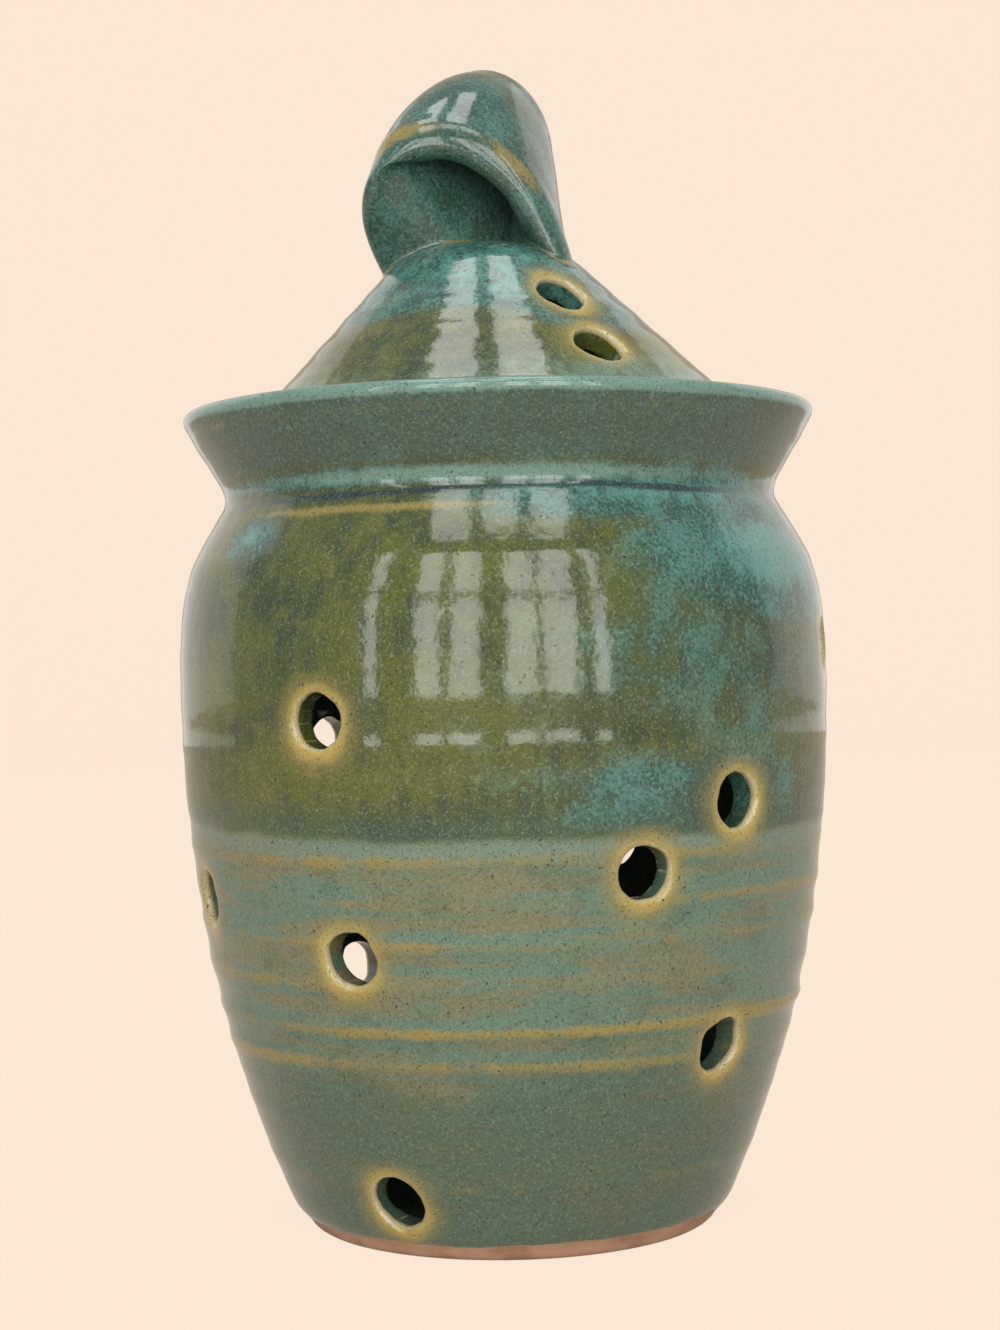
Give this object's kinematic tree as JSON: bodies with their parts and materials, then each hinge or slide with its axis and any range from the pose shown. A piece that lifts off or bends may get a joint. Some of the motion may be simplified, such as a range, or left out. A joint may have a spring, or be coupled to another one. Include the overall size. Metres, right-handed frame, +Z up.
{
  "type": "garlic keeper",
  "caption": "Glazed stoneware garlic jar with air holes, flared rim and a drop-in cone lid that has a curled strap handle.",
  "frame": {"origin": "middle of the jar's foot, on the surface it stands on", "axes": "+Z up along the jar's axis, -Y towards a viewer who sees the low hole near the foot on the left and the handle's curl in front"},
  "size_m": [0.1085, 0.1085, 0.1965],
  "materials": {
    "jar_glaze": "glossy mottled olive and teal glaze, sage green below, bare pinkish foot",
    "lid_glaze": "glossy mottled teal and ochre glaze, bare clay where it sits on the ledge",
    "handle_glaze": "glossy teal glaze breaking to ochre on the strap's edges"
  },
  "bodies": {
    "jar": {"jar": "jar_glaze"},
    "lid": {"lid": "lid_glaze", "lid_handle": "handle_glaze"}
  },
  "joints": [
    {"name": "lid_lift", "type": "slide", "parent": "jar", "child": "lid", "axis": [0, 0, 1], "range_m": [0, 0.07]}
  ]
}
